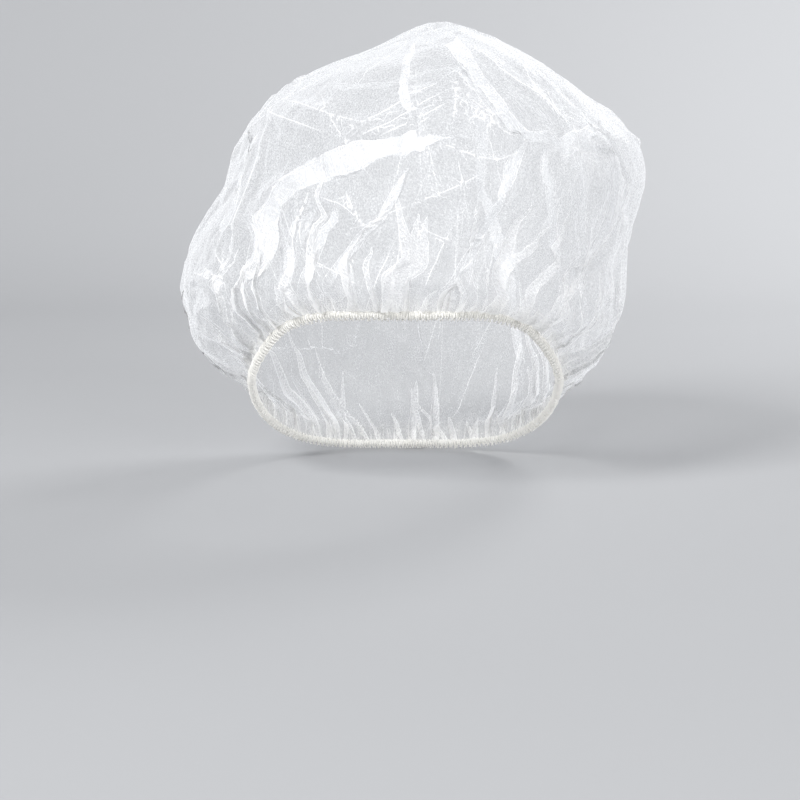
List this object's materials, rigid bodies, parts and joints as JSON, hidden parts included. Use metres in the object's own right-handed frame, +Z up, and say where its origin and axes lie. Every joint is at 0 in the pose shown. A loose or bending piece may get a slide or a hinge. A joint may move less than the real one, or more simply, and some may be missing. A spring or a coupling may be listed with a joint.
{
  "type": "disposable bouffant cap",
  "caption": "Gathered hair-cover cap of thin see-through non-woven fabric, a puffed crown on an elasticated overlocked edge, in its worn shape.",
  "frame": {"origin": "centre of the elasticated head opening, where a vertical line through it meets the hem's height at the temples", "axes": "+Z up when worn, -Y the way the wearer faces, +X the wearer's left; the opening faces -Z"},
  "size_m": [0.2482, 0.2669, 0.2446],
  "materials": {
    "nonwoven": "thin see-through white spun-bonded polypropylene, matt with a faint sheen",
    "elastic": "off-white elastic cord",
    "thread": "cream overlock thread"
  },
  "bodies": {
    "rear": {"crown_rear": "nonwoven", "elastic_rear": "elastic", "needle_thread_rear": "thread", "upper_looper_thread_rear": "thread", "lower_looper_thread_rear": "thread", "seam_tail": "thread"},
    "front": {"crown_front": "nonwoven", "elastic_front": "elastic", "needle_thread_front": "thread", "upper_looper_thread_front": "thread", "lower_looper_thread_front": "thread"}
  },
  "joints": [
    {"name": "opening_stretch", "type": "slide", "parent": "rear", "child": "front", "axis": [0, -1, 0], "range_m": [0, 0.07], "stiffness_N_per_m": 12}
  ]
}
